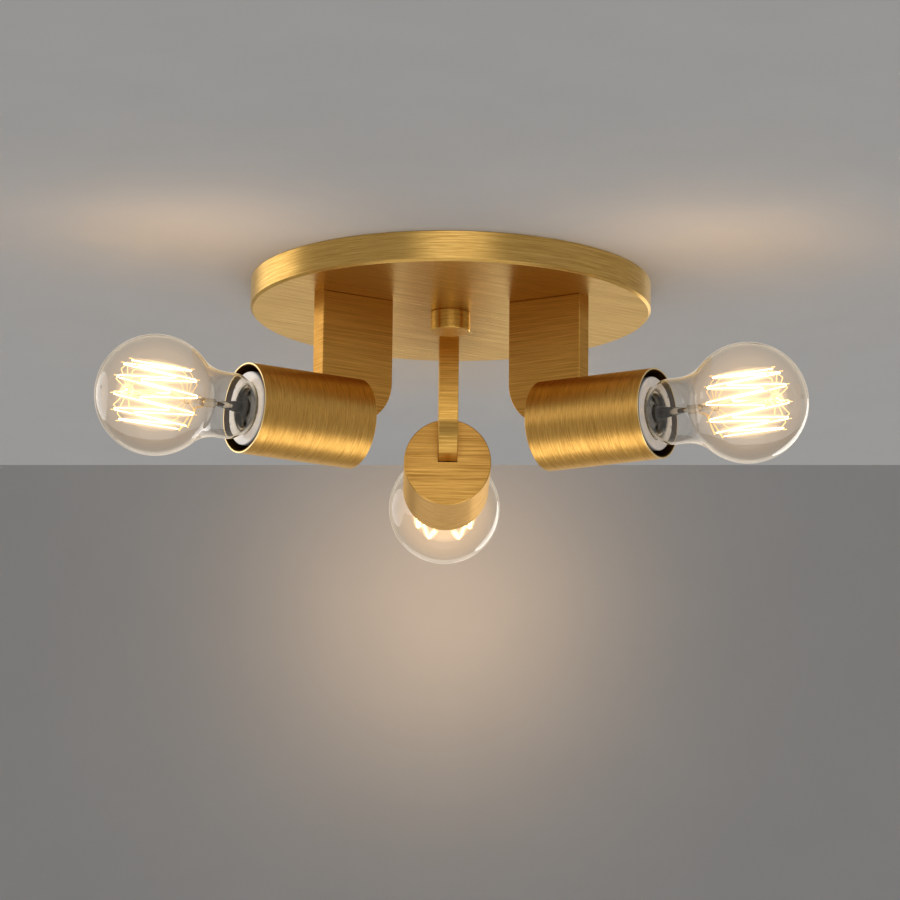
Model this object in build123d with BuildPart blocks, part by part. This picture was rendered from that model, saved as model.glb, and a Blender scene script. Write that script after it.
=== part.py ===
from build123d import *
import os
from math import acos, asin, cos, degrees, pi, radians, sin, sqrt

# Semi flush ceiling light with three bare lamps on flat arms. Millimetres.
# The origin is the centre of the canopy at the ceiling, +Z up. The fixture hangs below Z = 0.
# The back arm points along +Y. The left and right arms stand 120 degrees to either side of it.

# ---- arms: where each lamp points, as an angle about +Z ----
LAMPS = {"back": 90, "left": 210, "right": 330}
# ---- which port of each connector a lamp's lead enters, counted from the back lamp's ----
PORTS = {"left": -1, "back": 0, "right": 1}

# ---- canopy ----
canopy_radius = 101.5
canopy_height = 15.0
canopy_wall = 1.2
canopy_bevel = 1.2

# ---- centre fixing: crossbar, threaded nipple, lock nut and finial ----
crossbar_length = 106.0
crossbar_width = 22.0
crossbar_thickness = 2.0
crossbar_corner = 3.0
collar_radius = 7.5
collar_height = 1.5
slot_spacing = 89.0
slot_length = 13.0
slot_width = 4.6
nipple_radius = 5.0
nipple_wall = 1.5
nipple_drop = 8.0
lock_nut_flats = 14.0
lock_nut_height = 3.0
finial_radius = 10.0
finial_height = 10.0
finial_edge = 0.35
washer_radius = 7.0
washer_thickness = 0.8
finial_floor_gap = 0.5
earth_screw_reach = 24.0

# ---- arms ----
arm_thickness = 10.0
arm_width = 40.0
arm_inner_reach = 36.5
arm_corner_radius = 22.5
arm_wall = 1.2
arm_edge = 0.3
plug_height = 8.0
arm_screw_spacing = 26.0

# ---- cups ----
axis_drop = 80.0
cup_radius = 22.5
cup_wall = 1.0
cup_end_wall = 2.0
cup_behind_arm = 21.5
cup_length = 63.0
cup_edge = 0.4

# ---- lampholder ----
bracket_thickness = 1.5
bracket_edge_gap = 0.3
bracket_screw_above_leads = 8.0
holder_radius = 18.4
holder_recess = 1.2
holder_base = 9.0
holder_lip = 2.0
holder_edge = 0.8
wire_chamber_depth = 4.5
wire_chamber_width = 8.0
wire_chamber_height = 26.0
live_door = -5.5
neutral_door = 10.0
shell_wall = 0.4
shell_eye_radius = 7.3
holder_screw_reach = 9.5
contact_width = 5.0
contact_pad_above_door = 1.5
contact_rise_end = -1.5
contact_end = 2.5
contact_thickness = 0.5
contact_gap = 0.1

# ---- screw thread shared by the lamp cap and the lampholder shell ----
thread_pitch = 3.629
thread_rounding = 1.0
cap_crest_radius = 12.95
cap_root_radius = 12.05
shell_crest_radius = 12.3
shell_bore_radius = 13.25
cap_thread_length = 15.5
shell_thread_length = 18.5

# ---- lamp: a clear A60 glass with a squirrel-cage filament ----
globe_radius = 29.75
globe_reach = 49.0
neck_radius = 16.4
neck_blend_radius = 25.5
shoulder_radius = 12.0
shoulder_reach = 41.0
glass_wall = 0.8
glass_tail = 3.4
cap_rim_reach = 50.4
cap_length = 27.0
cap_wall = 0.5
cap_skirt = 4.0
cap_floor_radius = 9.5
insulator_height = 4.0
tip_radius = 4.5
tip_height = 1.2
tip_rounding = 0.8
rod_radius = 1.2
bead_radius = 2.3
bead_length = 3.2
far_bead_reach = 15.4
near_bead_reach = 17.7
press_radius = 2.2
press_start = 26.5
press_end = 33.0
spike_radius = 1.1
tube_radius = 3.2
tube_reach = 47.0
flare_thickness = 1.0
flare_radius = 11.3
cage_radius = 15.0
cage_far = 15.2
cage_near = 15.2
cage_hooks = 10
support_radius = 0.2
support_knee = 12.0
support_bow = 2.0
support_bend = 0.8
hook_rise = 0.8
hook_length = 1.6
hook_bend = 0.5
filament_radius = 0.2
filament_turn = 0.6
lead_in_radius = 0.4
lead_in_knee_reach = 22.5
lead_in_knee_radius = 3.4
lead_in_bend = 1.5
lead_in_tip = 0.8

# ---- screws: shank radius and length, head radius and height ----
arm_screw = (2.0, 8.0, 3.5, 2.0)
bracket_screw = (1.75, 6.5, 3.2, 1.0)
holder_screw = (1.5, 12.0, 2.7, 1.5)
earth_screw = (2.0, crossbar_thickness, 3.6, 1.8)
drive_slot_width = 0.8
drive_slot_depth = 0.7

# ---- leads and connectors inside the canopy ----
lead_radius = 0.9
lead_pair_spacing = 3.0
live_level = 10.0
lead_turn_in = 12.0
plan_bend = 6.0
drop_bend = 4.0
arm_bend = 12.0
door_bend = 2.0
chamber_entry = 1.0
chamber_exit = 3.4
lead_exit_height = 3.5
connector_length = 20.0
connector_depth = 14.0
connector_height = 9.0
connector_reach = 14.0
connector_front = 44.0
connector_edge = 0.5
port_pitch = 4.0
port_count = 4
port_depth = 8.0
port_gap = 0.3
bar_length = 16.0
bar_depth = 2.4
bar_height = 3.0

# ---- clearances ----
braze_gap = 0.05
thread_gap = 0.05
hole_gap = 0.5
fit_gap = 0.15
wire_gap = 0.15

# ---- places that follow from the sizes above ----
arm_outer_reach = arm_inner_reach + arm_width
arm_centre = arm_inner_reach + arm_width / 2
cup_start = arm_outer_reach - cup_behind_arm
cup_mouth = cup_start + cup_length
bracket_front = arm_outer_reach + bracket_thickness
holder_front = cup_mouth - holder_recess
holder_floor = bracket_front + holder_base
shell_thread_centre = shell_crest_radius + thread_rounding
holder_bore_radius = shell_thread_centre + thread_rounding + fit_gap
shell_end = holder_front - holder_lip - fit_gap
globe_centre = cup_mouth + globe_reach
cap_rim = globe_centre - cap_rim_reach
cap_tip = cap_rim - cap_length
cap_thread_centre = cap_crest_radius - thread_rounding
cap_thread_start = cap_rim - cap_skirt - cap_thread_length
shell_thread_start = cap_thread_start - 1.5 * thread_pitch
floor_level = canopy_height - canopy_wall
neutral_level = live_level - lead_pair_spacing
neutral_exit_height = lead_exit_height + lead_pair_spacing
live_reach = arm_centre - lead_pair_spacing / 2
neutral_reach = live_reach + lead_pair_spacing
arm_wire_hole = lead_pair_spacing / 2 + lead_radius + hole_gap
door_height = lead_exit_height + lead_pair_spacing / 2
door_length = lead_pair_spacing + 2 * (lead_radius + hole_gap)
door_width = 2 * (lead_radius + hole_gap)
bracket_screw_height = neutral_exit_height + bracket_screw_above_leads


def outward(angle, reach, height=0.0):
    """Point at a distance from the centre line, in the direction of a lamp."""
    return Vector(reach * cos(radians(angle)), reach * sin(radians(angle)), height)


# Every lamp and arm is made pointing along +X, then turned about +Z to its place.
# In the upright plane X is the distance from the centre line and Y the height above the lamp axis.
upright = Plane(origin=(0, 0, -axis_drop), x_dir=(1, 0, 0), z_dir=(0, -1, 0))
lamp_axis = Axis((0, 0, -axis_drop), (1, 0, 0))


def across(reach):
    """Plane square to the lamp axis: X runs sideways, Y up, and it faces outward."""
    return Plane(origin=(reach, 0, -axis_drop), x_dir=(0, 1, 0), z_dir=(1, 0, 0))


def add_wire(points, bends, radius):
    """One round wire swept along straight runs joined by tangent arcs."""
    with BuildLine() as route:
        FilletPolyline(*points, radius=bends)
    with BuildSketch(Plane(origin=route.line @ 0, z_dir=route.line % 0)) as section:
        Circle(radius)
    sweep(section.sketch, path=route.line)


def add_screw(seat, size):
    """Slotted pan head screw: its head stands on the seat plane and its shank goes below."""
    shank_radius, shank_length, head_radius, head_height = size
    with BuildSketch(seat) as head:
        Circle(head_radius)
    extrude(head.sketch, amount=head_height)
    with BuildSketch(seat) as shank:
        Circle(shank_radius)
    extrude(shank.sketch, amount=-shank_length)
    with BuildSketch(seat.offset(head_height)) as drive_slot:
        Rectangle(2 * head_radius, drive_slot_width)
    extrude(drive_slot.sketch, amount=-drive_slot_depth, mode=Mode.SUBTRACT)


def around(piece):
    """The same piece for each of the three lamps, as one group of separate solids."""
    with BuildPart() as group:
        for angle in LAMPS.values():
            add(piece.rotate(Axis.Z, angle))
    return group.part


def keep(part, label):
    part.label = label
    export_step(part, f"parts/{label}.step")


def make_canopy():
    """Shallow dish, open at the ceiling, with a hole for the nipple and three holes per arm."""
    underside = Plane.XY.offset(-canopy_height)
    with BuildPart() as canopy:
        with BuildSketch(underside):
            Circle(canopy_radius)
        extrude(amount=canopy_height)
        chamfer(canopy.edges().sort_by(Axis.Z)[0], canopy_bevel)
        with BuildSketch(Plane.XY.offset(-floor_level)):
            Circle(canopy_radius - canopy_wall)
        extrude(amount=floor_level, mode=Mode.SUBTRACT)
        with BuildSketch(underside):
            Circle(nipple_radius + hole_gap)
            with PolarLocations(arm_centre, len(LAMPS), start_angle=90):
                Circle(arm_wire_hole)
            for side in (-1, 1):
                with PolarLocations(arm_centre + side * arm_screw_spacing / 2, len(LAMPS), start_angle=90):
                    Circle(arm_screw[0] + fit_gap)
        extrude(amount=canopy_wall, mode=Mode.SUBTRACT)
    return canopy.part


def make_crossbar():
    """Slotted steel strap that screws to the ceiling box, with a tapped collar in the middle."""
    with BuildPart() as crossbar:
        with BuildSketch():
            RectangleRounded(crossbar_length, crossbar_width, crossbar_corner)
            with Locations((-slot_spacing / 2, 0), (slot_spacing / 2, 0)):
                SlotOverall(slot_length, slot_width, mode=Mode.SUBTRACT)
        extrude(amount=-crossbar_thickness)
        with BuildSketch():
            Circle(collar_radius)
        extrude(amount=-crossbar_thickness - collar_height)
        with BuildSketch():
            Circle(nipple_radius + thread_gap)
            with Locations((earth_screw_reach, 0)):
                Circle(earth_screw[0] + thread_gap)
        extrude(amount=-crossbar_thickness - collar_height, mode=Mode.SUBTRACT)
    return crossbar.part


def make_nipple():
    """Hollow threaded tube, drawn at the outer size of its thread."""
    with BuildPart() as nipple:
        with BuildSketch():
            Circle(nipple_radius)
            Circle(nipple_radius - nipple_wall, mode=Mode.SUBTRACT)
        extrude(amount=-canopy_height - nipple_drop)
        chamfer(nipple.edges().sort_by(Axis.Z)[0:2].sort_by(SortBy.RADIUS)[-1], finial_edge)
    return nipple.part


def make_lock_nut():
    top = -crossbar_thickness - collar_height
    with BuildPart() as lock_nut:
        with BuildSketch(Plane.XY.offset(top)):
            RegularPolygon(lock_nut_flats / 2, 6, major_radius=False)
            Circle(nipple_radius + thread_gap, mode=Mode.SUBTRACT)
        extrude(amount=-lock_nut_height)
    return lock_nut.part


def make_finial_washer():
    """Flat ring hidden in the top of the finial, under the canopy."""
    with BuildPart() as finial_washer:
        with BuildSketch(Plane.XY.offset(-canopy_height)):
            Circle(washer_radius)
            Circle(nipple_radius + fit_gap, mode=Mode.SUBTRACT)
        extrude(amount=-washer_thickness)
    return finial_washer.part


def make_finial_nut():
    """Round cap nut that holds the canopy up: a blind bore and a recess for the washer."""
    top = Plane.XY.offset(-canopy_height)
    with BuildPart() as finial_nut:
        with BuildSketch(top):
            Circle(finial_radius)
        extrude(amount=-finial_height)
        chamfer(finial_nut.edges().filter_by(GeomType.CIRCLE), finial_edge)
        with BuildSketch(top):
            Circle(nipple_radius + thread_gap)
        extrude(amount=-nipple_drop - finial_floor_gap, mode=Mode.SUBTRACT)
        with BuildSketch(top):
            Circle(washer_radius + fit_gap)
        extrude(amount=-washer_thickness, mode=Mode.SUBTRACT)
    return finial_nut.part


def make_earth_screw():
    """Screw for the supply's earth wire, up through the crossbar from below."""
    seat = Plane(origin=(earth_screw_reach, 0, -crossbar_thickness), x_dir=(1, 0, 0), z_dir=(0, 0, -1))
    with BuildPart() as screw:
        add_screw(seat, earth_screw)
    return screw.part


def arm_outline(inset, top):
    """Side view of an arm: a flat bar whose lower inner corner is a quarter round."""
    inner = arm_inner_reach + inset
    outer = arm_outer_reach - inset
    bend = arm_corner_radius - inset
    with BuildSketch() as outline:
        with BuildLine():
            Line((inner, top), (outer, top))
            Line((outer, top), (outer, inset))
            Line((outer, inset), (inner + bend, inset))
            RadiusArc((inner + bend, inset), (inner, inset + bend), bend)
            Line((inner, inset + bend), (inner, top))
        make_face()
    return outline.sketch


def make_arm():
    """Flat hollow bar from the canopy down into the slot of the cup, with a door for the leads."""
    top = axis_drop - canopy_height
    with BuildPart() as arm:
        with BuildSketch(upright):
            add(arm_outline(0, top))
        extrude(amount=arm_thickness / 2, both=True)
        faces = arm.faces().sort_by(Axis.Y)
        chamfer(faces[0].edges() + faces[-1].edges(), arm_edge)
        with BuildSketch(upright):
            add(arm_outline(arm_wall, top))
        extrude(amount=arm_thickness / 2 - arm_wall, both=True, mode=Mode.SUBTRACT)
        with BuildSketch(across(arm_outer_reach)):
            with Locations((0, door_height)):
                SlotOverall(door_length, door_width, rotation=90)
            with Locations((0, bracket_screw_height)):
                Circle(bracket_screw[0] + thread_gap)
        extrude(amount=-arm_wall, mode=Mode.SUBTRACT)
    return arm.part


def make_arm_plug():
    """Steel block brazed in the top of an arm, tapped for the arm screws."""
    top = Plane(origin=(arm_centre, 0, -canopy_height))
    with BuildPart() as plug:
        with BuildSketch(top):
            Rectangle(arm_width - 2 * (arm_wall + braze_gap), arm_thickness - 2 * (arm_wall + braze_gap))
            Circle(arm_wire_hole, mode=Mode.SUBTRACT)
            with GridLocations(arm_screw_spacing, 0, 2, 1):
                Circle(arm_screw[0] + thread_gap, mode=Mode.SUBTRACT)
        extrude(amount=-plug_height)
    return plug.part


def make_arm_screws():
    """Two screws that hold an arm up against the underside of the canopy, from inside it."""
    with BuildPart() as screws:
        for side in (-1, 1):
            reach = arm_centre + side * arm_screw_spacing / 2
            add_screw(Plane(origin=(reach, 0, -floor_level)), arm_screw)
    return screws.part


def make_cup():
    """Turned cylinder, closed behind, slotted from its closed end to take the arm."""
    with BuildPart() as cup:
        with BuildSketch(across(cup_start)):
            Circle(cup_radius)
        extrude(amount=cup_length)
        chamfer(cup.edges().sort_by(lamp_axis)[0], cup_edge)
        with BuildSketch(across(cup_start + cup_end_wall)):
            Circle(cup_radius - cup_wall)
        extrude(amount=cup_length, mode=Mode.SUBTRACT)
        with BuildSketch(across(cup_start)):
            with Locations((0, -braze_gap)):
                Rectangle(arm_thickness + 2 * braze_gap, 2 * cup_radius, align=(Align.CENTER, Align.MIN))
        extrude(amount=cup_behind_arm + braze_gap, mode=Mode.SUBTRACT)
    return cup.part


def make_holder_bracket():
    """Round plate inside a cup, screwed to the end of the arm. It carries the lampholder."""
    with BuildPart() as bracket:
        with BuildSketch(across(arm_outer_reach)):
            Circle(cup_radius - cup_wall - bracket_edge_gap)
            with Locations((0, door_height)):
                SlotOverall(door_length, door_width, rotation=90, mode=Mode.SUBTRACT)
            with Locations((0, bracket_screw_height)):
                Circle(bracket_screw[0] + fit_gap, mode=Mode.SUBTRACT)
            with GridLocations(2 * holder_screw_reach, 0, 2, 1):
                Circle(holder_screw[0] + thread_gap, mode=Mode.SUBTRACT)
        extrude(amount=bracket_thickness)
    return bracket.part


def make_bracket_screw():
    """Self-tapping screw that holds the plate to the end of the arm."""
    seat = across(bracket_front)
    centre = seat.origin + seat.y_dir * bracket_screw_height
    with BuildPart() as screw:
        add_screw(Plane(origin=centre, x_dir=seat.x_dir, z_dir=seat.z_dir), bracket_screw)
    return screw.part


def make_holder_body():
    """Porcelain lampholder: a thick tube with a solid base, a lip and a chamber for the leads."""
    length = holder_front - bracket_front
    with BuildPart() as body:
        with BuildSketch(across(bracket_front)):
            Circle(holder_radius)
        extrude(amount=length)
        ends = body.edges().filter_by(GeomType.CIRCLE).sort_by(lamp_axis)
        fillet(ends[-1], holder_edge)
        with BuildSketch(across(holder_floor)):
            Circle(holder_bore_radius)
        extrude(amount=holder_front - holder_lip - holder_floor, mode=Mode.SUBTRACT)
        with BuildSketch(across(holder_front)):
            Circle(shell_bore_radius)
        extrude(amount=-holder_lip, mode=Mode.SUBTRACT)
        with BuildSketch(across(bracket_front)):
            Rectangle(wire_chamber_width, wire_chamber_height)
            with Locations((0, bracket_screw_height)):
                Circle(bracket_screw[2] + hole_gap)
        extrude(amount=wire_chamber_depth, mode=Mode.SUBTRACT)
        with BuildSketch(across(bracket_front)):
            with GridLocations(2 * holder_screw_reach, 0, 2, 1):
                Circle(holder_screw[0] + fit_gap)
            with Locations((0, live_door), (0, neutral_door)):
                Circle(lead_radius + hole_gap)
        extrude(amount=holder_base, mode=Mode.SUBTRACT)
    return body.part


def make_holder_shell():
    """Thin metal screw shell: a ring at the bottom, a tube, and a rounded thread pressed inward."""
    shell_radius = shell_bore_radius + shell_wall
    with BuildPart() as shell:
        with BuildSketch(across(holder_floor)):
            Circle(shell_radius)
        extrude(amount=shell_end - holder_floor)
        with BuildSketch(across(holder_floor + shell_wall)):
            Circle(shell_bore_radius)
        extrude(amount=shell_end - holder_floor, mode=Mode.SUBTRACT)
        with BuildSketch(across(holder_floor)):
            Circle(shell_eye_radius)
            with GridLocations(2 * holder_screw_reach, 0, 2, 1):
                Circle(holder_screw[0] + fit_gap)
        extrude(amount=shell_wall, mode=Mode.SUBTRACT)
        add_thread(shell_thread_start, shell_thread_length, shell_thread_centre)
    return shell.part


def add_thread(start, length, centre_radius):
    """Right-hand helical ridge of round section about the lamp axis."""
    with BuildLine() as spiral:
        Helix(
            pitch=thread_pitch,
            height=length,
            radius=centre_radius,
            center=(start, 0, -axis_drop),
            direction=(1, 0, 0),
        )
    with BuildSketch(Plane(origin=spiral.line @ 0, z_dir=spiral.line % 0)) as section:
        Circle(thread_rounding)
    sweep(section.sketch, path=spiral.line, is_frenet=True)


def make_holder_contact():
    """Springy brass tongue on the floor of the lampholder: a pad, a slope and a raised end."""
    low = holder_floor
    high = cap_tip - contact_gap - contact_thickness
    thick = contact_thickness
    pad_outer = live_door - lead_radius - fit_gap
    pad_inner = live_door + contact_pad_above_door
    with BuildPart() as contact:
        with BuildSketch(upright):
            with BuildLine():
                Polyline(
                    (low, pad_outer),
                    (low, pad_inner),
                    (high, contact_rise_end),
                    (high, contact_end),
                    (high + thick, contact_end),
                    (high + thick, contact_rise_end - thick / 2),
                    (low + thick, pad_inner - thick / 2),
                    (low + thick, pad_outer),
                    close=True,
                )
            make_face()
        extrude(amount=contact_width / 2, both=True)
    return contact.part


def make_holder_screws():
    """Two long screws through the base of a lampholder into its plate."""
    seat = across(holder_floor + shell_wall)
    with BuildPart() as screws:
        for side in (-1, 1):
            centre = seat.origin + seat.x_dir * side * holder_screw_reach
            add_screw(Plane(origin=centre, x_dir=seat.y_dir, z_dir=seat.z_dir), holder_screw)
    return screws.part


def glass_profile(inset):
    """Half section of the blown glass, or of the space inside it, with X outward along the axis."""
    globe = globe_radius - inset
    neck = neck_radius - inset
    blend = neck_blend_radius + inset
    shoulder = shoulder_radius - inset
    blend_reach = sqrt((globe + blend) ** 2 - (neck + blend) ** 2)
    blend_turn = acos(blend_reach / (globe + blend))
    run = cap_rim_reach - shoulder_reach
    shoulder_turn = asin(run / shoulder)

    def on_globe(turn):
        return (globe_centre - globe * cos(turn), globe * sin(turn))

    def on_blend(turn):
        return (globe_centre - blend_reach + blend * cos(turn), neck + blend - blend * sin(turn))

    def on_shoulder(turn):
        return (
            globe_centre - shoulder_reach - shoulder * sin(turn),
            neck - shoulder + shoulder * cos(turn),
        )

    rim = on_shoulder(shoulder_turn)
    tail = cap_rim - glass_tail
    with BuildSketch() as section:
        with BuildLine():
            ThreePointArc(on_globe(pi), on_globe((pi + blend_turn) / 2), on_globe(blend_turn))
            ThreePointArc(on_blend(blend_turn), on_blend((blend_turn + pi / 2) / 2), on_blend(pi / 2))
            Line(on_blend(pi / 2), on_shoulder(0))
            ThreePointArc(on_shoulder(0), on_shoulder(shoulder_turn / 2), rim)
            Polyline(rim, (tail, rim[1]), (tail, 0), on_globe(pi))
        make_face()
    return section.sketch


def make_bulb_glass():
    """Blown glass: a round globe, a neck blended into it, a shoulder and a tail inside the cap."""
    with BuildPart() as glass:
        with BuildSketch(upright):
            add(glass_profile(0))
        revolve(axis=lamp_axis)
        with BuildSketch(upright):
            add(glass_profile(glass_wall))
        revolve(axis=lamp_axis, mode=Mode.SUBTRACT)
    return glass.part


def make_bulb_cap():
    """Screw cap: a thin stepped shell with a rounded thread on the outside and a plain skirt."""
    floor = cap_tip + tip_height + insulator_height
    skirt_start = cap_rim - cap_skirt
    with BuildPart() as cap:
        with BuildSketch(upright):
            with BuildLine():
                Polyline(
                    (floor, cap_floor_radius),
                    (cap_thread_start - thread_rounding, cap_root_radius),
                    (skirt_start - thread_rounding, cap_root_radius),
                    (skirt_start, cap_crest_radius),
                    (cap_rim, cap_crest_radius),
                    (cap_rim, cap_crest_radius - cap_wall),
                    (skirt_start + cap_wall, cap_crest_radius - cap_wall),
                    (skirt_start - thread_rounding + cap_wall, cap_root_radius - cap_wall),
                    (cap_thread_start, cap_root_radius - cap_wall),
                    (floor, cap_floor_radius - 2 * cap_wall),
                    close=True,
                )
            make_face()
        revolve(axis=lamp_axis)
        add_thread(cap_thread_start, cap_thread_length, cap_thread_centre)
    return cap.part


def make_bulb_insulator():
    """Black glass cone between the cap and the centre contact."""
    start = cap_tip + tip_height
    with BuildPart() as insulator:
        with BuildSketch(upright):
            with BuildLine():
                Polyline(
                    (start, 0),
                    (start, tip_radius + 0.5),
                    (start + insulator_height, cap_floor_radius),
                    (start + insulator_height, 0),
                    close=True,
                )
            make_face()
        revolve(axis=lamp_axis)
    return insulator.part


def make_bulb_tip():
    """Flat dome of solder on the end of the cap."""
    with BuildPart() as tip:
        with BuildSketch(across(cap_tip)):
            Circle(tip_radius)
        extrude(amount=tip_height)
        fillet(tip.edges().sort_by(lamp_axis)[0], tip_rounding)
    return tip.part


def make_bulb_stem():
    """Glass mount: a flare sealed in the neck, a spike, a flat press and a rod with two beads."""
    def at(reach, radius):
        return (globe_centre - reach, radius)

    half_bead = bead_length / 2
    flare_seat = cap_rim_reach + glass_tail + braze_gap
    with BuildPart() as stem:
        with BuildSketch(upright):
            with BuildLine():
                Polyline(
                    at(flare_seat + flare_thickness, 0),
                    at(flare_seat + flare_thickness, flare_radius),
                    at(flare_seat, flare_radius),
                    at(flare_seat, flare_radius - glass_wall),
                    at((flare_seat + tube_reach) / 2, tube_radius * 1.5),
                    at(tube_reach, tube_radius),
                    at(press_end, spike_radius),
                    at(press_end - 1.5, press_radius),
                    at(press_start, press_radius),
                    at(press_start - 1.5, rod_radius),
                    at(near_bead_reach + half_bead, rod_radius),
                    at(near_bead_reach + half_bead / 2, bead_radius),
                    at(near_bead_reach - half_bead / 2, bead_radius),
                    at(near_bead_reach - half_bead, rod_radius),
                    at(half_bead - far_bead_reach, rod_radius),
                    at(half_bead / 2 - far_bead_reach, bead_radius),
                    at(-half_bead / 2 - far_bead_reach, bead_radius),
                    at(-half_bead - far_bead_reach, rod_radius),
                    at(-half_bead - far_bead_reach, 0),
                    close=True,
                )
            make_face()
        revolve(axis=lamp_axis)
    return stem.part


def cage_point(reach, radius, turn):
    """Point in a lamp: its distance from the globe's centre towards the cap, radius and angle."""
    side = radius * sin(radians(turn))
    down = radius * cos(radians(turn))
    return Vector(globe_centre - reach, side, -axis_drop - down)


hook_step = 360 / (cage_hooks + 1)


def make_bulb_wires():
    """Support wires that bow out from the two beads and hook through the turns of the filament,
    and two lead-in wires from the press to the filament's ends."""
    hook_seat = filament_radius + support_radius + wire_gap
    with BuildPart() as wires:
        rows = (
            (-far_bead_reach, -cage_far, -1, [(n + 1) * hook_step for n in range(cage_hooks)]),
            (near_bead_reach, cage_near, 1, [(n + 1.5) * hook_step for n in range(cage_hooks - 1)]),
        )
        for bead, ring, away, turns in rows:
            for turn in turns:
                add_wire(
                    [
                        cage_point(bead, bead_radius + support_radius, turn),
                        cage_point(ring + away * support_bow, support_knee, turn),
                        cage_point(ring - away * hook_seat, cage_radius - hook_rise, turn),
                        cage_point(ring - away * hook_seat, cage_radius + hook_rise, turn),
                        cage_point(ring + away * hook_length, cage_radius + hook_rise, turn),
                    ],
                    [support_bend, hook_bend, hook_bend],
                    support_radius,
                )
        for turn in (hook_step / 2, 360 - hook_step / 2):
            add_wire(
                [
                    cage_point(press_start, press_radius + lead_in_radius, turn),
                    cage_point(lead_in_knee_reach, lead_in_knee_radius, turn),
                    cage_point(
                        cage_near + lead_in_radius + filament_radius, cage_radius + lead_in_tip, turn
                    ),
                ],
                [lead_in_bend],
                lead_in_radius,
            )
    return wires.part


def make_bulb_filament():
    """One fine wire that zigzags round the cage from one lead-in wire to the other."""
    half_turn = degrees(filament_turn / cage_radius)
    points = [cage_point(cage_near, cage_radius, hook_step / 2)]
    for hook in range(cage_hooks):
        far_turn = (hook + 1) * hook_step
        near_turn = far_turn + hook_step / 2
        points.append(cage_point(-cage_far, cage_radius, far_turn - half_turn))
        points.append(cage_point(-cage_far, cage_radius, far_turn + half_turn))
        if hook < cage_hooks - 1:
            points.append(cage_point(cage_near, cage_radius, near_turn - half_turn))
            points.append(cage_point(cage_near, cage_radius, near_turn + half_turn))
    points.append(cage_point(cage_near, cage_radius, 360 - hook_step / 2))
    with BuildPart() as filament:
        add_wire(points, [filament_turn * 0.8] * (len(points) - 2), filament_radius)
    return filament.part


def make_connector(side, level):
    """Push-in connector on the canopy's floor: four ports in front and a cavity for its bar."""
    centre = side * connector_reach
    with BuildPart() as connector:
        with BuildSketch(Plane.XY.offset(-floor_level)):
            with Locations((centre, -connector_front)):
                Rectangle(connector_length, connector_depth, align=(Align.CENTER, Align.MAX))
        extrude(amount=connector_height)
        chamfer(connector.edges().filter_by(Axis.Z), connector_edge)
        with BuildSketch(port_face(centre, level)):
            with GridLocations(port_pitch, 0, port_count, 1):
                Circle(lead_radius + port_gap)
        extrude(amount=-port_depth, mode=Mode.SUBTRACT)
        with BuildSketch(port_face(centre, level).offset(-port_depth)):
            Rectangle(bar_length + 2 * fit_gap, bar_height + 2 * fit_gap)
        extrude(amount=-bar_depth - fit_gap, mode=Mode.SUBTRACT)
    return connector.part


def port_face(centre, level):
    return Plane(origin=(centre, -connector_front, -level), x_dir=(-1, 0, 0), z_dir=(0, 1, 0))


def make_connector_bars():
    """Metal bars inside the two connectors that join the leads of one pole."""
    with BuildPart() as bars:
        for side, level in ((-1, live_level), (1, neutral_level)):
            with BuildSketch(port_face(side * connector_reach, level).offset(-port_depth)):
                Rectangle(bar_length, bar_height)
            extrude(amount=-bar_depth)
    return bars.part


def make_lead(angle, port, level, reach, exit_height, door):
    """One lead: from its connector over the canopy's floor, down an arm and into a lampholder."""
    spread = reach - live_reach
    points = [
        Vector(port, -connector_front - port_depth, -level),
        Vector(port, -connector_front + lead_turn_in, -level),
        outward(angle, reach, -level),
        outward(angle, reach, exit_height - axis_drop),
        outward(angle, bracket_front + chamber_entry, exit_height - axis_drop),
        outward(angle, bracket_front + chamber_exit, door - axis_drop),
        outward(angle, holder_floor, door - axis_drop),
    ]
    bends = [plan_bend, drop_bend + spread, arm_bend + lead_pair_spacing - spread, door_bend, door_bend]
    with BuildPart() as lead:
        add_wire(points, bends, lead_radius)
    return lead.part


os.makedirs("parts", exist_ok=True)

keep(make_canopy(), "canopy")
keep(make_crossbar(), "crossbar")
keep(make_nipple(), "threaded_nipple")
keep(make_lock_nut(), "lock_nut")
keep(make_finial_washer(), "finial_washer")
keep(make_finial_nut(), "finial_nut")
keep(make_earth_screw(), "earth_screw")
keep(make_connector(-1, live_level), "live_connector")
keep(make_connector(1, neutral_level), "neutral_connector")
keep(make_connector_bars(), "connector_bars")
keep(around(make_arm_plug()), "arm_plugs")
keep(around(make_arm_screws()), "arm_screws")
keep(around(make_holder_bracket()), "holder_brackets")
keep(around(make_bracket_screw()), "bracket_screws")
keep(around(make_holder_screws()), "holder_screws")

lamp_pieces = {
    "arm": make_arm(),
    "cup": make_cup(),
    "holder_body": make_holder_body(),
    "holder_shell": make_holder_shell(),
    "holder_contact": make_holder_contact(),
    "bulb_glass": make_bulb_glass(),
    "bulb_cap": make_bulb_cap(),
    "bulb_insulator": make_bulb_insulator(),
    "bulb_tip": make_bulb_tip(),
    "bulb_stem": make_bulb_stem(),
    "bulb_wires": make_bulb_wires(),
    "bulb_filament": make_bulb_filament(),
}
for name, angle in LAMPS.items():
    for piece_name, piece in lamp_pieces.items():
        keep(piece.rotate(Axis.Z, angle), f"{name}_{piece_name}")
    live_port = PORTS[name] * port_pitch - port_pitch / 2 - connector_reach
    neutral_port = PORTS[name] * port_pitch + port_pitch / 2 + connector_reach
    live = make_lead(angle, live_port, live_level, live_reach, lead_exit_height, live_door)
    neutral = make_lead(
        angle, neutral_port, neutral_level, neutral_reach, neutral_exit_height, neutral_door
    )
    keep(live, f"{name}_live_lead")
    keep(neutral, f"{name}_neutral_lead")
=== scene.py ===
"""Looks of a ceiling light with three clear lamps: camera, lights, backdrop, materials and glow."""

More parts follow.
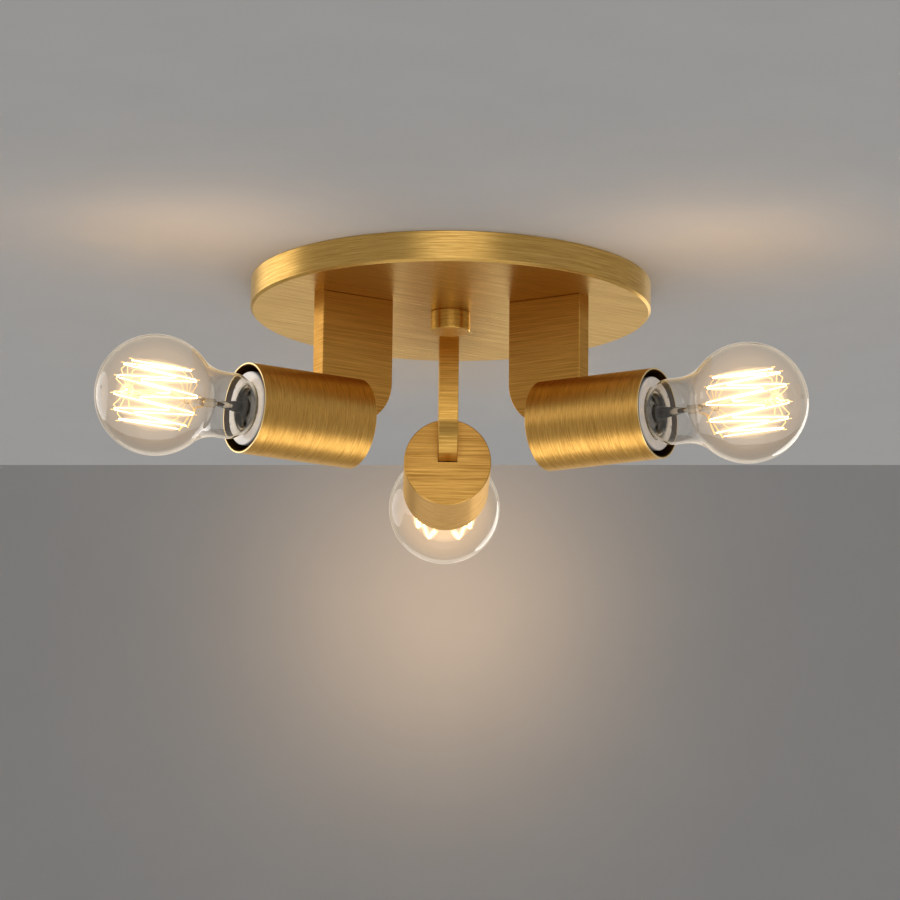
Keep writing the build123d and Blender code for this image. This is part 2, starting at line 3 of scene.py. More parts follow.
import math

import bpy
from mathutils import Matrix, Vector


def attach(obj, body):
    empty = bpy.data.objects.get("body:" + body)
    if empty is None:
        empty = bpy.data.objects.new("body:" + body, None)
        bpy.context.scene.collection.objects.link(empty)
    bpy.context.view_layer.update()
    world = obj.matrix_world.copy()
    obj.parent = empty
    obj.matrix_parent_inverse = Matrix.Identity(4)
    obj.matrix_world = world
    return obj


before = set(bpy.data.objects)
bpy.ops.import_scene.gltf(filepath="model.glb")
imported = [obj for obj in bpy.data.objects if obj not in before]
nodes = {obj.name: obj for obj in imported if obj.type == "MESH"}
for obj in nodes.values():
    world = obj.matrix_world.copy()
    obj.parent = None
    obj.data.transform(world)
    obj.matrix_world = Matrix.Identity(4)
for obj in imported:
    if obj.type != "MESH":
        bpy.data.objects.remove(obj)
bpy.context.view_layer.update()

LAMPS = {"back": 90, "left": 210, "right": 330}  # degrees, the way each lamp points
AXIS_DROP = 80.0  # mm, lamp axes below the ceiling
GLOBE_CENTRE = 167.0  # mm, from the middle of the light to the middle of a globe
CUP_MOUTH = 118.0  # mm, from the middle of the light to the open end of a cup
CUP_LENGTH, CUP_RADIUS = 63.0, 22.5  # mm
CUP_LIP, CUP_LIP_DEPTH, CUP_FLOOR = 0.65, 0.3, 1.0  # mm, of the lip with its painted highlight, and of the closed end
STEM_DARK, STEM_CLEAR = 46.0, 36.0  # mm, from the middle of a globe in to where the painted shade on its stem is full, and to where it ends
BEAD_REACH = 15.4  # mm, from the middle of a globe out to the bead on its rod
AXES = {"x": Vector((1, 0, 0)), "y": Vector((0, 1, 0)), "z": Vector((0, 0, 1))}

# Camera, lights and stage

CAMERA_DISTANCE, CAMERA_DROP = 2.4430, 0.6517  # metres
CAMERA_SIDE, CAMERA_AIM, CAMERA_PITCH, CAMERA_ROLL = 0.01312, 0.01331, 0.22741, 0.01024  # radians
CAMERA_LENS, SENSOR_WIDTH = 199.02, 36.0  # mm
CEILING = (0.545, 0.543, 0.538)
WALL = (0.36, 0.36, 0.36)
AMBIENT = (0.40, 0.40, 0.40)
ROOM = (0.41, 0.40, 0.385)
SOFT_WHITE = (1.0, 0.98, 0.95)
LAMP_LIGHT = (1.0, 0.68, 0.41)
FIXTURE = (0, 0, -0.05)  # what the soft lights face
SOFTBOXES = [  # name, width and height in metres, radiance, place, and parts it reaches, if not all
    ("below", 2.4, 2.4, 0.5, (0, -0.3, -2.2), ()),
    ("low_left", 1.5, 2.1, 1.8, (-1.3, 0.25, -2.1), ("right_cup", "back_cup")),
    ("low_right", 1.5, 2.1, 1.8, (1.3, 0.25, -2.1), ("left_cup", "back_cup")),
    ("front", 2.1, 1.6, 1.0, (0.1, -2.6, 0.25), ()),
    ("back", 2.4, 1.3, 0.50, (0, 2.4, -0.75), ()),
    ("left", 2.3, 1.8, 1.65, (-2.2, 1.25, 0.2), ()),
    ("front_left", 1.3, 1.3, 0.75, (-2.0, -1.15, 0.35), ("right_cup",)),
    ("right", 1.0, 1.8, 2.2, (1.3, 2.2, -0.3), ()),
]
GLOW_RADIUS, GLOW_ANGLE = 0.015, math.radians(150)
GLOW_LIGHTS = [  # name, watts, place in metres, and the way it shines
    ("left_glow", 0.165, (-0.128, -0.095, -0.085), "z"),
    ("right_glow", 0.15, (0.128, -0.095, -0.085), "z"),
    ("back_glow", 0.62, (-0.004, 0.290, -0.085), "y"),
]
PANEL_SIDE, PANEL_FRONT, PANEL_BACK, PANEL_FOOT = 0.75, -0.85, 0.41397, -0.95  # metres
PANEL_SLANT = 0.04453  # the wall stands askew: this much nearer on the right and farther on the left
PANEL_TOP = 0.0003  # just above the canopy


def make_camera():
    """The camera stands below the ceiling and looks up at the light through a long lens."""
    forward = Vector(
        (
            math.sin(CAMERA_AIM) * math.cos(CAMERA_PITCH),
            math.cos(CAMERA_AIM) * math.cos(CAMERA_PITCH),
            math.sin(CAMERA_PITCH),
        )
    )
    level = Vector((math.cos(CAMERA_AIM), -math.sin(CAMERA_AIM), 0))
    upward = level.cross(forward)
    right = math.cos(CAMERA_ROLL) * level + math.sin(CAMERA_ROLL) * upward
    top = right.cross(forward)
    camera = bpy.data.objects.new("camera", bpy.data.cameras.new("camera"))
    bpy.context.scene.collection.objects.link(camera)
    camera.matrix_world = Matrix((right, top, -forward)).transposed().to_4x4()
    camera.location = (
        -CAMERA_DISTANCE * math.sin(CAMERA_SIDE),
        -CAMERA_DISTANCE * math.cos(CAMERA_SIDE),
        -CAMERA_DROP,
    )
    camera.data.sensor_width = SENSOR_WIDTH
    camera.data.lens = CAMERA_LENS
    camera.data.clip_start, camera.data.clip_end = 0.05, 50
    bpy.context.scene.camera = camera


def place_light(name, light, color, place, target):
    """Puts a light that the camera doesn't see at a place, in metres, so that it faces the target."""
    light.color = color
    lamp = bpy.data.objects.new(name, light)
    bpy.context.scene.collection.objects.link(lamp)
    lamp.location = place
    lamp.rotation_euler = (Vector(target) - Vector(place)).to_track_quat("-Z", "Y").to_euler()
    lamp.visible_camera = False
    return lamp


def light_only(lamp, parts):
    """Lets a light reach these parts only."""
    reached = bpy.data.collections.new(f"{lamp.name}_reach")
    for part in parts:
        reached.objects.link(part)
    lamp.light_linking.receiver_collection = reached


def make_softbox(name, width, height, radiance, place, only):
    """An oval soft light that faces the fixture. It reaches the parts named, or all if none is."""
    light = bpy.data.lights.new(name, "AREA")
    light.shape, light.size, light.size_y = "ELLIPSE", width, height
    area = math.pi / 4 * width * height
    light.energy = radiance * math.pi * area
    lamp = place_light(name, light, SOFT_WHITE, place, FIXTURE)
    lamp.visible_transmission = False
    if only:
        light_only(lamp, [nodes[part] for part in only])


def make_glow_light(name, power, place, way, panel):
    """The warm light, in watts, that a lamp throws on a panel from this place in this direction."""
    light = bpy.data.lights.new(name, "SPOT")
    light.energy, light.shadow_soft_size = power, GLOW_RADIUS
    light.spot_size, light.spot_blend = GLOW_ANGLE, 1.0
    lamp = place_light(name, light, LAMP_LIGHT, place, Vector(place) + Vector(way))
    lamp.visible_glossy = lamp.visible_transmission = False
    light_only(lamp, [panel])


def make_panel(name, corners, material):
    """A flat panel behind the object. It shows, but casts no shadow and lights nothing."""
    mesh = bpy.data.meshes.new(name)
    mesh.from_pydata(corners, [], [(0, 1, 2, 3)])
    panel = bpy.data.objects.new(name, mesh)
    bpy.context.scene.collection.objects.link(panel)
    mesh.materials.append(material)
    panel.visible_diffuse = panel.visible_glossy = panel.visible_shadow = False
    return panel


def make_world():
    """An even, pale room: it lights the object softly, and shows behind it and in its reflections."""
    world = bpy.data.worlds.new("room")
    bpy.context.scene.world = world
    world.use_nodes = True
    tree = world.node_tree
    background = tree.nodes["Background"]
    path = tree.nodes.new("ShaderNodeLightPath")
    seen = path.outputs["Is Camera Ray"]
    for kind in ("Is Glossy Ray", "Is Transmission Ray"):
        either = tree.nodes.new("ShaderNodeMath")
        either.operation = "MAXIMUM"
        tree.links.new(seen, either.inputs[0])
        tree.links.new(path.outputs[kind], either.inputs[1])
        seen = either.outputs[0]
    color = tree.nodes.new("ShaderNodeMixRGB")
    tree.links.new(seen, color.inputs[0])
    color.inputs[1].default_value = (*AMBIENT, 1)
    color.inputs[2].default_value = (*ROOM, 1)
    tree.links.new(color.outputs[0], background.inputs["Color"])


# Materials


class Material:
    """A material with one Principled shader, and short ways to lay nodes before it."""

    def __init__(self, name, **values):
        self.data = bpy.data.materials.new(name)
        self.data.use_nodes = True
        self.tree = self.data.node_tree
        self.shader = self.tree.nodes["Principled BSDF"]
        self.output = self.tree.nodes["Material Output"]
        self.set(**values)

    def set(self, **values):
        """Sets or links inputs of the shader: base_color is its Base Color."""
        for key, value in values.items():
            name = {"ior": "IOR"}.get(key, key.replace("_", " ").title())
            self.feed(self.shader.inputs[name.replace("Specular Level", "Specular IOR Level")], value)

    def feed(self, socket, value):
        if isinstance(value, bpy.types.NodeSocket):
            self.tree.links.new(value, socket)
        elif value is not None:
            if socket.type == "RGBA" and len(value) == 3:
                value = (*value, 1)
            socket.default_value = value

    def put(self, kind, *inputs, out=0, **settings):
        """Adds a node, feeds its inputs in order, and returns an output, by number or identifier."""
        node = self.tree.nodes.new("ShaderNode" + kind)
        for key, value in settings.items():
            setattr(node, key, value)
        for socket, value in zip(node.inputs, inputs):
            self.feed(socket, value)
        if isinstance(out, str):
            return next(socket for socket in node.outputs if socket.identifier == out)
        return node.outputs[out]

    def math(self, operation, a, b=None):
        return self.put("Math", a, b, operation=operation)

    def vector(self, operation, a, b=None, out=0):
        return self.put("VectorMath", a, b, operation=operation, out=out)

    def dot(self, a, b):
        return self.vector("DOT_PRODUCT", a, b, out=1)

    def mix(self, factor, a, b):
        return self.put("MixRGB", factor, a, b)

    def blend(self, factor, a, b):
        """As mix, for vectors, which may be negative."""
        inputs = (factor, None, None, None, a, b)
        return self.put("Mix", *inputs, out="Result_Vector", data_type="VECTOR")

    def remap(self, value, low, high, to_low, to_high):
        return self.put("MapRange", value, low, high, to_low, to_high)

    def noise(self, place, scale=1.0, detail=2.0, roughness=0.5):
        """Noise from 0 to 1, about one lump for each unit of place times scale."""
        return self.put("TexNoise", place, None, scale, detail, roughness)

    def split(self, vector):
        return [self.put("SeparateXYZ", vector, out=axis) for axis in range(3)]

    def place(self, angle=0, height=0.0, out="Object"):
        """Where a point is, in mm from this height, or with out="Normal" the way it faces, turned so
        that X points along a lamp."""
        source = self.put("TexCoord", out=out)
        if out == "Object":
            source = self.vector("MULTIPLY", source, (1000, 1000, 1000))
            source = self.vector("SUBTRACT", source, (0, 0, height))
        if not angle:
            return source
        turn = math.radians(-angle)
        return self.put("VectorRotate", source, None, None, turn, rotation_type="Z_AXIS")

    def seen(self, amount):
        """An amount of light that shows where it is looked at, but not in polished metal near it."""
        mirrored = self.math("MINIMUM", self.put("LightPath", out="Glossy Depth"), 1.0)
        return self.math("MULTIPLY", self.math("SUBTRACT", 1.0, mirrored), amount)

    def bump(self, height, depth, strength=1.0):
        """Bumps as deep as depth in metres where height goes from 0 to 1."""
        normal = self.put("Bump", strength, depth)
        self.feed(normal.node.inputs["Height"], height)
        self.set(normal=normal)

    def cover(self, factor, other):
        """Lets another shader show as far as the factor goes."""
        both = self.put("MixShader", factor, self.shader.outputs[0], other)
        self.feed(self.output.inputs["Surface"], both)


def times(color, *factors):
    """A colour made darker or lighter, by one factor or by one for each channel."""
    shares = factors if len(factors) == 3 else factors * 3
    return tuple(min(1.0, channel * share) for channel, share in zip(color, shares))


GLASS_IOR = 1.47
SHEEN, SHEEN_FALL = (1.0, 0.74, 0.42), 7.0  # the colour of a painted sheen on the edges of glass; the higher the fall, the nearer it stays to the edge
# the glass of a stem, and the painted shade on it where it stands in the cap
STEM_TINT, STEM_SHADE = (0.93, 0.86, 0.74), (0.30, 0.28, 0.25)
BRASS = (0.69, 0.388, 0.092)
BRASS_EDGE = (0.88, 0.83, 0.70)  # what it reflects at a glancing angle
LINE_DARK, LINE_BRIGHT = (0.66, 0.60, 0.50), (1.22, 1.26, 1.40)  # shares of the colour in its lines
# the painted highlight on the lip of a cup's mouth
LIP_PAINTED_HIGHLIGHT = (0.92, 0.72, 0.38)
CUP_SHADE = (0.20, 0.16, 0.12)  # shares of the colour left inside a cup by its painted shade
LINES_PER_MM, LINE_DEPTH = 2.2, 0.00006  # the depth in metres
SQUARELY = 0.72  # a surface faces a way if the cosine of the angle between them is more than this


def brass(
    name,
    angle,
    across,
    faces=(),
    height=0.0,
    long=14.0,
    color=BRASS,
    rough=0.30,
    drawn=0.7,
    fineness=1.0,
    mouth=None,
):
    """Satin brass with fine lines. across is the axis along which the lines follow each other, or
    "ring" for turned circles, and long is their length in mm. faces gives others for surfaces that
    face a certain way: [(facing, across, long)]. drawn is how far the lines draw the gloss out. A
    part with a mouth, this far out, has painted shade inside and a painted highlight on its lip."""
    m = Material(name, metallic=1.0, anisotropic=drawn, specular_tint=BRASS_EDGE)
    place = m.place(angle, height)
    facing = m.place(angle, out="Normal")
    x, y, z = m.split(place)

    def lines(way, length):
        """Place, drawn out along the lines."""
        if way == "ring":
            radius = m.vector("LENGTH", m.put("CombineXYZ", x, y, 0.0), out=1)
            outward = m.put("CombineXYZ", 0.0, 0.0, m.math("MULTIPLY", radius, LINES_PER_MM))
            along = m.vector("MULTIPLY", place, (1 / length, 1 / length, 0))
            return m.vector("ADD", along, outward)
        scale = [LINES_PER_MM if axis == way else 1 / length for axis in "xyz"]
        return m.vector("MULTIPLY", place, scale)

    def tangent(way):
        turn = Matrix.Rotation(math.radians(angle), 3, "Z")
        return tuple(turn @ AXES["x" if way == "ring" else way])

    laid, grain = lines(across, long), tangent(across)
    for side, way, length in faces:
        cosine = m.math("ABSOLUTE", m.dot(facing, tuple(AXES[side])))
        here = m.math("GREATER_THAN", cosine, SQUARELY)
        laid = m.blend(here, laid, lines(way, length))
        grain = m.blend(here, grain, tangent(way))
    fine = m.noise(laid, fineness, 3.0, 0.65)
    coarse = m.noise(laid, fineness / 3, 3.0, 0.6)
    streak = m.math("ADD", m.math("MULTIPLY", fine, 0.65), m.math("MULTIPLY", coarse, 0.35))
    shade = m.remap(streak, 0.38, 0.62, 0.0, 1.0)
    tone = m.mix(shade, times(color, *LINE_DARK), times(color, *LINE_BRIGHT))
    broad = m.noise(place, 0.035, 2.0)
    tone = m.mix(m.remap(broad, 0.35, 0.65, 0.0, 0.35), tone, times(color, 0.84))
    worn = m.remap(m.noise(place, 0.4, 4.0, 0.7), 0.60, 0.75, 0.0, 0.10)
    dull = m.math("ADD", m.remap(streak, 0.3, 0.7, rough + 0.10, rough - 0.07), worn)
    if mouth:
        radius = m.vector("LENGTH", m.put("CombineXYZ", 0.0, y, z), out=1)
        within = m.math("LESS_THAN", radius, CUP_RADIUS - CUP_LIP)
        before = m.math("GREATER_THAN", x, mouth - CUP_LENGTH + CUP_FLOOR)
        inside = m.math("MULTIPLY", within, before)
        lip = m.math("GREATER_THAN", x, mouth - CUP_LIP_DEPTH)
        # painted highlight on the lip of the mouth
        tone = m.mix(lip, tone, LIP_PAINTED_HIGHLIGHT)
        # painted shade inside the cup
        tone = m.mix(inside, tone, times(color, *CUP_SHADE))
    m.set(base_color=tone, roughness=dull, tangent=grain)
    m.bump(streak, LINE_DEPTH, 0.5)
    return m.data


def metal(name, color, rough, grain=0.5, depth=0.00002, spread=0.12):
    """Plain metal with a fine grain of this many lumps a millimetre, and this deep in metres. spread
    is how far its tone wanders."""
    m = Material(name, metallic=1.0)
    place = m.place()
    speck = m.noise(m.vector("MULTIPLY", place, (grain, grain, grain)), 1.0, 4.0, 0.6)
    cloud = m.remap(m.noise(place, 0.12, 2.0), 0.3, 0.7, 0.0, 1.0)
    m.set(
        base_color=m.mix(cloud, times(color, 1 - spread), times(color, 1 + spread)),
        roughness=m.remap(speck, 0.3, 0.7, rough + 0.1, rough - 0.06),
    )
    m.bump(speck, depth, 0.6)
    return m.data


def socket_metal(name, angle, color, inside, rough):
    """Plated metal of a lamp cap or its shell, which is dark with cement and shade on the inside."""
    m = Material(name, metallic=1.0)
    place = m.place(angle, -AXIS_DROP)
    _, y, z = m.split(place)
    outward = m.put("CombineXYZ", 0.0, y, z)
    # On the inside, the way out from the lamp's axis and the way the surface faces are opposite.
    inward = m.math("LESS_THAN", m.dot(outward, m.place(angle, out="Normal")), -0.5)
    speck = m.noise(place, 0.8, 4.0, 0.6)
    # The inside is cement with painted shade: dark, and not metal.
    m.set(
        base_color=m.mix(inward, color, m.mix(speck, times(inside, 0.5), times(inside, 1.5))),
        metallic=m.remap(inward, 0.0, 1.0, 1.0, 0.0),
        roughness=m.remap(speck, 0.3, 0.7, rough - 0.05, rough + 0.10),
    )
    m.bump(speck, 0.00003, 0.6)
    return m.data


def plastic(name, color, rough, depth=0.00002, grain=2.0, **values):
    """Moulded or drawn plastic, or a glaze, with a fine skin of this depth in metres."""
    m = Material(name, **values)
    place = m.place()
    skin = m.noise(place, grain, 3.0)
    cloud = m.remap(m.noise(place, 0.15, 3.0), 0.3, 0.7, 0.0, 1.0)
    m.set(
        base_color=m.mix(cloud, times(color, 0.92), times(color, 1.04)),
        roughness=m.remap(skin, 0.3, 0.7, rough - 0.04, rough + 0.06),
    )
    m.bump(skin, depth, 0.5)
    return m.data


def blown_glass(name, color, depth, sheen):
    """Clear glass that lets the light of the lamps through. depth is that of the long waves of its
    wall, in metres, and sheen how strong a painted sheen is on its edges: warm light painted there
    for the filament's light they catch."""
    m = Material(name, base_color=color, transmission_weight=1.0, ior=GLASS_IOR)
    waves = m.noise(m.place(), 0.05, 1.0)
    # Painted sheen: warm light painted on the edges of the glass.
    edge = m.math("POWER", m.put("LayerWeight", 0.5, out="Facing"), SHEEN_FALL)
    m.set(
        roughness=m.remap(waves, 0.3, 0.7, 0.0, 0.01),
        emission_color=SHEEN,
        emission_strength=m.math("MULTIPLY", edge, sheen),
    )
    m.bump(waves, depth, 0.5)
    m.cover(m.put("LightPath", out="Is Shadow Ray"), m.put("BsdfTransparent", color))
    return m.data


def stem_glass(name, angle):
    """Pinched glass, with painted shade where it stands in the cap."""
    m = Material(name, transmission_weight=1.0, ior=GLASS_IOR)
    place = m.place(angle)
    waves = m.noise(place, 0.25, 1.0)
    deep = m.remap(m.split(place)[0], GLOBE_CENTRE - STEM_DARK, GLOBE_CENTRE - STEM_CLEAR, 1.0, 0.0)
    # painted shade on the stem where it stands in the cap
    m.set(
        base_color=m.mix(deep, STEM_TINT, STEM_SHADE),
        roughness=m.remap(waves, 0.3, 0.7, 0.02, 0.08),
    )
    m.bump(waves, 0.0004, 0.5)
    m.cover(m.put("LightPath", out="Is Shadow Ray"), m.put("BsdfTransparent", (0.7, 0.65, 0.55)))
    return m.data


def hot_wire(name, color, strength):
    """Metal so hot that it shines. The strength wanders a little along it."""
    m = Material(name, base_color=(0.3, 0.2, 0.1), metallic=1.0, roughness=0.5, emission_color=color)
    heat = m.noise(m.place(), 0.4, 2.0)
    m.set(emission_strength=m.seen(m.remap(heat, 0.3, 0.7, strength * 0.75, strength * 1.2)))
    return m.data


def painted_glow_wire(name, angle, color, low, high):
    """Fine bright wire with painted light: it glows from low to high, the more the nearer it comes to
    the filament.
    Its ranges are in mm from the lamp's axis, and from the middle of the globe outward."""
    # Painted light: the wire glows in this warm colour, the more the nearer it comes to the filament.
    m = Material(name, base_color=color, metallic=1.0, emission_color=(1.0, 0.60, 0.22))
    place = m.vector("SUBTRACT", m.place(angle, -AXIS_DROP), (GLOBE_CENTRE, 0, 0))
    x, y, z = m.split(place)
    radius = m.vector("LENGTH", m.put("CombineXYZ", 0.0, y, z), out=1)
    spread = m.remap(radius, 2.0, 14.0, 0.2, 0.6)
    inner_end = m.math("MULTIPLY", spread, m.remap(x, -27.0, -19.0, 0.0, 1.0))
    outer_end = m.remap(x, 12.0, 15.0, 0.0, 1.0)
    near = m.math("MAXIMUM", inner_end, outer_end)
    speck = m.noise(place, 2.0, 3.0)
    m.set(
        roughness=m.remap(speck, 0.3, 0.7, 0.2, 0.35),
        emission_strength=m.seen(m.remap(near, 0.0, 1.0, low, high)),
    )
    m.bump(speck, 0.00002, 0.5)
    return m.data


def glow(name, color, strength):
    """Painted light: a faint glow put into a lamp, as bright as strength times its depth in metres.
    """
    m = Material(name)
    m.tree.nodes.remove(m.shader)
    m.feed(m.output.inputs["Volume"], m.put("Emission", color, m.seen(strength)))
    return m.data


def backdrop(name, color):
    """Plain matt paint that is seen from one side only."""
    m = Material(name, roughness=0.9, specular_level=0.1)
    speck = m.remap(m.noise(m.place(), 0.02, 4.0), 0.3, 0.7, 0.0, 1.0)
    m.set(base_color=m.mix(speck, times(color, 0.985), times(color, 1.015)))
    m.bump(m.noise(m.place(), 0.6, 3.0), 0.00004, 0.3)
    m.cover(m.put("NewGeometry", out="Backfacing"), m.put("BsdfTransparent", (1, 1, 1)))
    return m.data


def paint(name, material):
    """Gives a node's object this material."""
    mesh = nodes[name].data
    mesh.materials.clear()
    mesh.materials.append(material)


bpy.context.scene.view_settings.view_transform = "Standard"
make_camera()
make_world()
left_joint = (-PANEL_SIDE, PANEL_BACK + PANEL_SLANT, PANEL_TOP)
right_joint = (PANEL_SIDE, PANEL_BACK - PANEL_SLANT, PANEL_TOP)
left_front, right_front = (-PANEL_SIDE, PANEL_FRONT, PANEL_TOP), (PANEL_SIDE, PANEL_FRONT, PANEL_TOP)
left_foot, right_foot = (*left_joint[:2], PANEL_FOOT), (*right_joint[:2], PANEL_FOOT)
ceiling_corners = [left_front, left_joint, right_joint, right_front]
wall_corners = [left_foot, right_foot, right_joint, left_joint]
ceiling = make_panel("ceiling", ceiling_corners, backdrop("ceiling_paint", CEILING))
wall = make_panel("wall", wall_corners, backdrop("wall_paint", WALL))
for softbox in SOFTBOXES:
    make_softbox(*softbox)
for name, power, place, way in GLOW_LIGHTS:
    make_glow_light(name, power, place, AXES[way], ceiling if way == "z" else wall)

# Brass

CANOPY_LINES = 32  # degrees, the way the lines run under the canopy
# Painted light and shade: the side arms are painted darker and the back arm lighter, for how light
# falls on each.
SIDE_ARM_PAINTED_SHADE, ARM_ROUGH = (0.92, 0.83, 0.70), 0.37
BACK_ARM_PAINTED_LIGHT, BACK_ARM_ROUGH = (1.10, 1.13, 1.10), 0.31

canopy_look = dict(long=26, color=times(BRASS, 1.0, 1.08, 1.22), drawn=0.5, fineness=1.7)
paint("canopy", brass("brass_canopy", CANOPY_LINES, "z", [("z", "y", 45)], **canopy_look))
finial_look = dict(long=9, color=times(BRASS, 1.1, 1.2, 1.2))
paint("finial_nut", brass("brass_finial", 0, "z", [("z", "ring", 9)], **finial_look))
cup_look = dict(height=-AXIS_DROP, long=12, rough=0.38, drawn=0.5, fineness=1.6, mouth=CUP_MOUTH)
for lamp, angle in LAMPS.items():
    # painted shade on the side arms, painted light on the back arm
    tone, rough = (BACK_ARM_PAINTED_LIGHT, BACK_ARM_ROUGH) if lamp == "back" else (SIDE_ARM_PAINTED_SHADE, ARM_ROUGH)
    arm_look = dict(long=40, color=times(BRASS, *tone), rough=rough, fineness=1.5)
    paint(f"{lamp}_arm", brass(f"brass_{lamp}_arm", angle, "z", **arm_look))
    paint(f"{lamp}_cup", brass(f"brass_{lamp}_cup", angle, "x", [("x", "z", 45)], **cup_look))

# Lampholders and lamps

GLAZE = dict(coat_weight=0.5, coat_roughness=0.05)
# the second colour is the cement and painted shade inside a cap or its shell
PLATED, PLATED_INSIDE = (0.62, 0.58, 0.50), (0.05, 0.045, 0.04)
FILAMENT_GLOW, WIRE = (1.0, 0.60, 0.24), (0.78, 0.52, 0.26)

porcelain = plastic("porcelain", (0.78, 0.79, 0.81), 0.14, 0.00003, 0.5, **GLAZE)
contact = metal("spring_brass", (0.66, 0.50, 0.25), 0.3)
insulator = plastic("black_glass", (0.012, 0.012, 0.014), 0.08, 0.00004, 0.8)
solder = metal("solder", (0.62, 0.62, 0.61), 0.35, 1.2, 0.00008)
bulb_glass = blown_glass("bulb_glass", (0.985, 0.965, 0.93), 0.0003, 0.65)
filament = hot_wire("hot_wire", FILAMENT_GLOW, 22.0)

for lamp, angle in LAMPS.items():
    paint(f"{lamp}_holder_body", porcelain)
    plated = socket_metal(f"{lamp}_plated", angle, PLATED, PLATED_INSIDE, 0.28)
    paint(f"{lamp}_holder_shell", plated)
    paint(f"{lamp}_holder_contact", contact)
    paint(f"{lamp}_bulb_glass", bulb_glass)
    paint(f"{lamp}_bulb_cap", plated)
    paint(f"{lamp}_bulb_insulator", insulator)
    paint(f"{lamp}_bulb_tip", solder)
    paint(f"{lamp}_bulb_stem", stem_glass(f"{lamp}_stem_glass", angle))
    paint(f"{lamp}_bulb_wires", painted_glow_wire(f"{lamp}_painted_glow_wire", angle, WIRE, 0.05, 2.2))
    paint(f"{lamp}_bulb_filament", filament)

# Inside the canopy

STEEL_PARTS = [
    "crossbar",
    "threaded_nipple",
    "lock_nut",
    "finial_washer",
    "connector_bars",
    "arm_plugs",
    "arm_screws",
    "holder_brackets",
    "bracket_screws",
    "holder_screws",
]

zinc = metal("zinc_steel", (0.60, 0.61, 0.63), 0.36, 0.5, 0.00003, spread=0.16)
for name in STEEL_PARTS:
    paint(name, zinc)
paint("earth_screw", metal("green_screw", (0.06, 0.30, 0.10), 0.35, 1.0))
connector = plastic("connector_plastic", (0.62, 0.62, 0.59), 0.3)
live = plastic("live_sleeve", (0.11, 0.045, 0.018), 0.5, 0.00003, 1.5)
neutral = plastic("neutral_sleeve", (0.012, 0.04, 0.22), 0.5, 0.00003, 1.5)
paint("live_connector", connector)
paint("neutral_connector", connector)
for lamp in LAMPS:
    paint(f"{lamp}_live_lead", live)
    paint(f"{lamp}_neutral_lead", neutral)

# The painted glow in the lamps

CAGE_HOOKS, CAGE_RADIUS = 10, 15.0  # hooks at the outer end of a filament, and mm from its axis
CAGE_FAR, CAGE_NEAR = 15.2, 15.2  # mm, from the middle of a globe out to these, in to the others
GLOBE_GLOW_SIZE, CAGE_SIZE, BEAD_SIZE = (28.6, 28.6), (20.0, 18.0), (3.6, 3.8)  # mm: half a length and a radius, of the painted glow in a globe, round its cage and round its bead
HALO_RADIUS = 1.7  # mm, of the painted glow round a run of the filament
HALO_PROFILE = [(0, 0), (0.04, 0.7), (0.12, 1), (0.88, 1), (0.96, 0.7), (1, 0)]  # shares of both
# the colour of the painted glow round a cage and its filament
PAINTED_GLOW_COLOR = (1.0, 0.66, 0.30)


def make_painted_glow(lamp, angle, name, points, faces, material):
    """A piece of painted glow in a lamp, from points in mm from the middle of its globe, X outward.
    """
    turn = Matrix.Rotation(math.radians(angle), 4, "Z")
    middle = Vector((GLOBE_CENTRE, 0, -AXIS_DROP))
    mesh = bpy.data.meshes.new(name)
    mesh.from_pydata([turn @ (middle + Vector(point)) / 1000 for point in points], [], faces)
    mesh.materials.append(material)
    piece = bpy.data.objects.new(name, mesh)
    bpy.context.scene.collection.objects.link(piece)
    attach(piece, f"{lamp}_lamp")


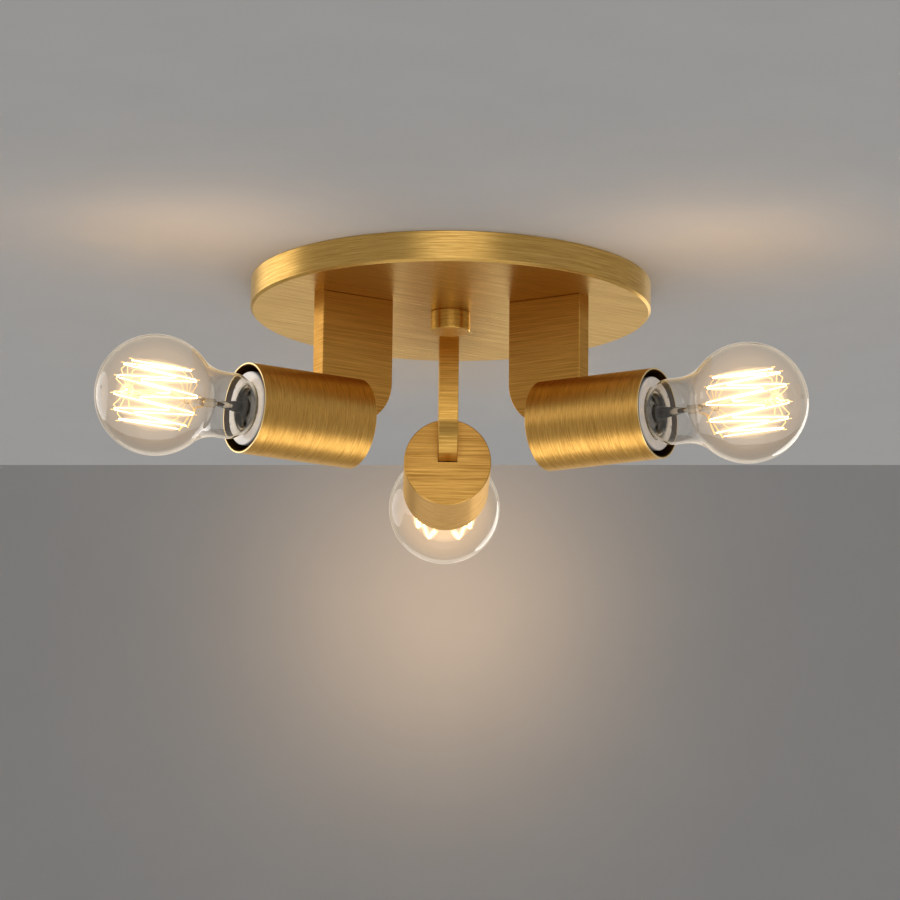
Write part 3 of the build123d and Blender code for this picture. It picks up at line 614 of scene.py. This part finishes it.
def turned(rings, sides):
    """Points and faces of a round closed body about X, from rings (x, radius) between two tips."""
    points, faces = [(rings[0][0], 0, 0)], []
    for x, radius in rings[1:-1]:
        for side in range(sides):
            around = 2 * math.pi * side / sides
            points.append((x, radius * math.cos(around), radius * math.sin(around)))
    points.append((rings[-1][0], 0, 0))
    last = 1 + (len(rings) - 3) * sides
    for side in range(sides):
        after = (side + 1) % sides
        faces.append((0, 1 + after, 1 + side))
        faces.append((len(points) - 1, last + side, last + after))
        for ring in range(1, last, sides):
            faces.append((ring + side, ring + after, ring + sides + after, ring + sides + side))
    return points, faces


def egg(length, radius, shift=0.0, steps=24, sides=48):
    """Points and faces of a ball drawn out or in along X, with its middle shifted outward."""
    ring_angles = [math.pi * step / steps for step in range(steps + 1)]
    return turned([(shift - length * math.cos(a), radius * math.sin(a)) for a in ring_angles], sides)


def strands():
    """The two ends of each run of the filament, from hook to hook round the cage."""
    step = 2 * math.pi / (CAGE_HOOKS + 1)
    ends = [(-CAGE_NEAR, step / 2)]
    for hook in range(CAGE_HOOKS):
        ends += [(CAGE_FAR, (hook + 1) * step), (-CAGE_NEAR, (hook + 1.5) * step)]
    spots = [Vector((x, CAGE_RADIUS * math.sin(a), -CAGE_RADIUS * math.cos(a))) for x, a in ends]
    return zip(spots, spots[1:])


def halos(radius, sides=10):
    """Points and faces of a slim spindle of painted glow round each run of the filament."""
    points, faces = [], []
    for start, end in strands():
        run = end - start
        turn = run.to_track_quat("X", "Z")
        first = len(points)
        rings = [(run.length * along, radius * share) for along, share in HALO_PROFILE]
        more, skins = turned(rings, sides)
        points += [start + turn @ Vector(point) for point in more]
        faces += [tuple(first + corner for corner in skin) for skin in skins]
    return points, faces


# Painted light: glowing volumes fill each globe and wrap its cage, its runs of filament and its bead.
painted_globe_glow = glow("lamp_painted_glow", (1.0, 0.62, 0.29), 6.0)
painted_cage_glow = glow("cage_painted_glow", PAINTED_GLOW_COLOR, 13.0)
halo = glow("strand_halo", PAINTED_GLOW_COLOR, 150.0)
for lamp, angle in LAMPS.items():
    make_painted_glow(lamp, angle, f"{lamp}_bulb_painted_glow", *egg(*GLOBE_GLOW_SIZE), painted_globe_glow)
    make_painted_glow(lamp, angle, f"{lamp}_cage_painted_glow", *egg(*CAGE_SIZE), painted_cage_glow)
    make_painted_glow(lamp, angle, f"{lamp}_strand_halo", *halos(HALO_RADIUS), halo)
    make_painted_glow(lamp, angle, f"{lamp}_bead_halo", *egg(*BEAD_SIZE, shift=BEAD_REACH), halo)
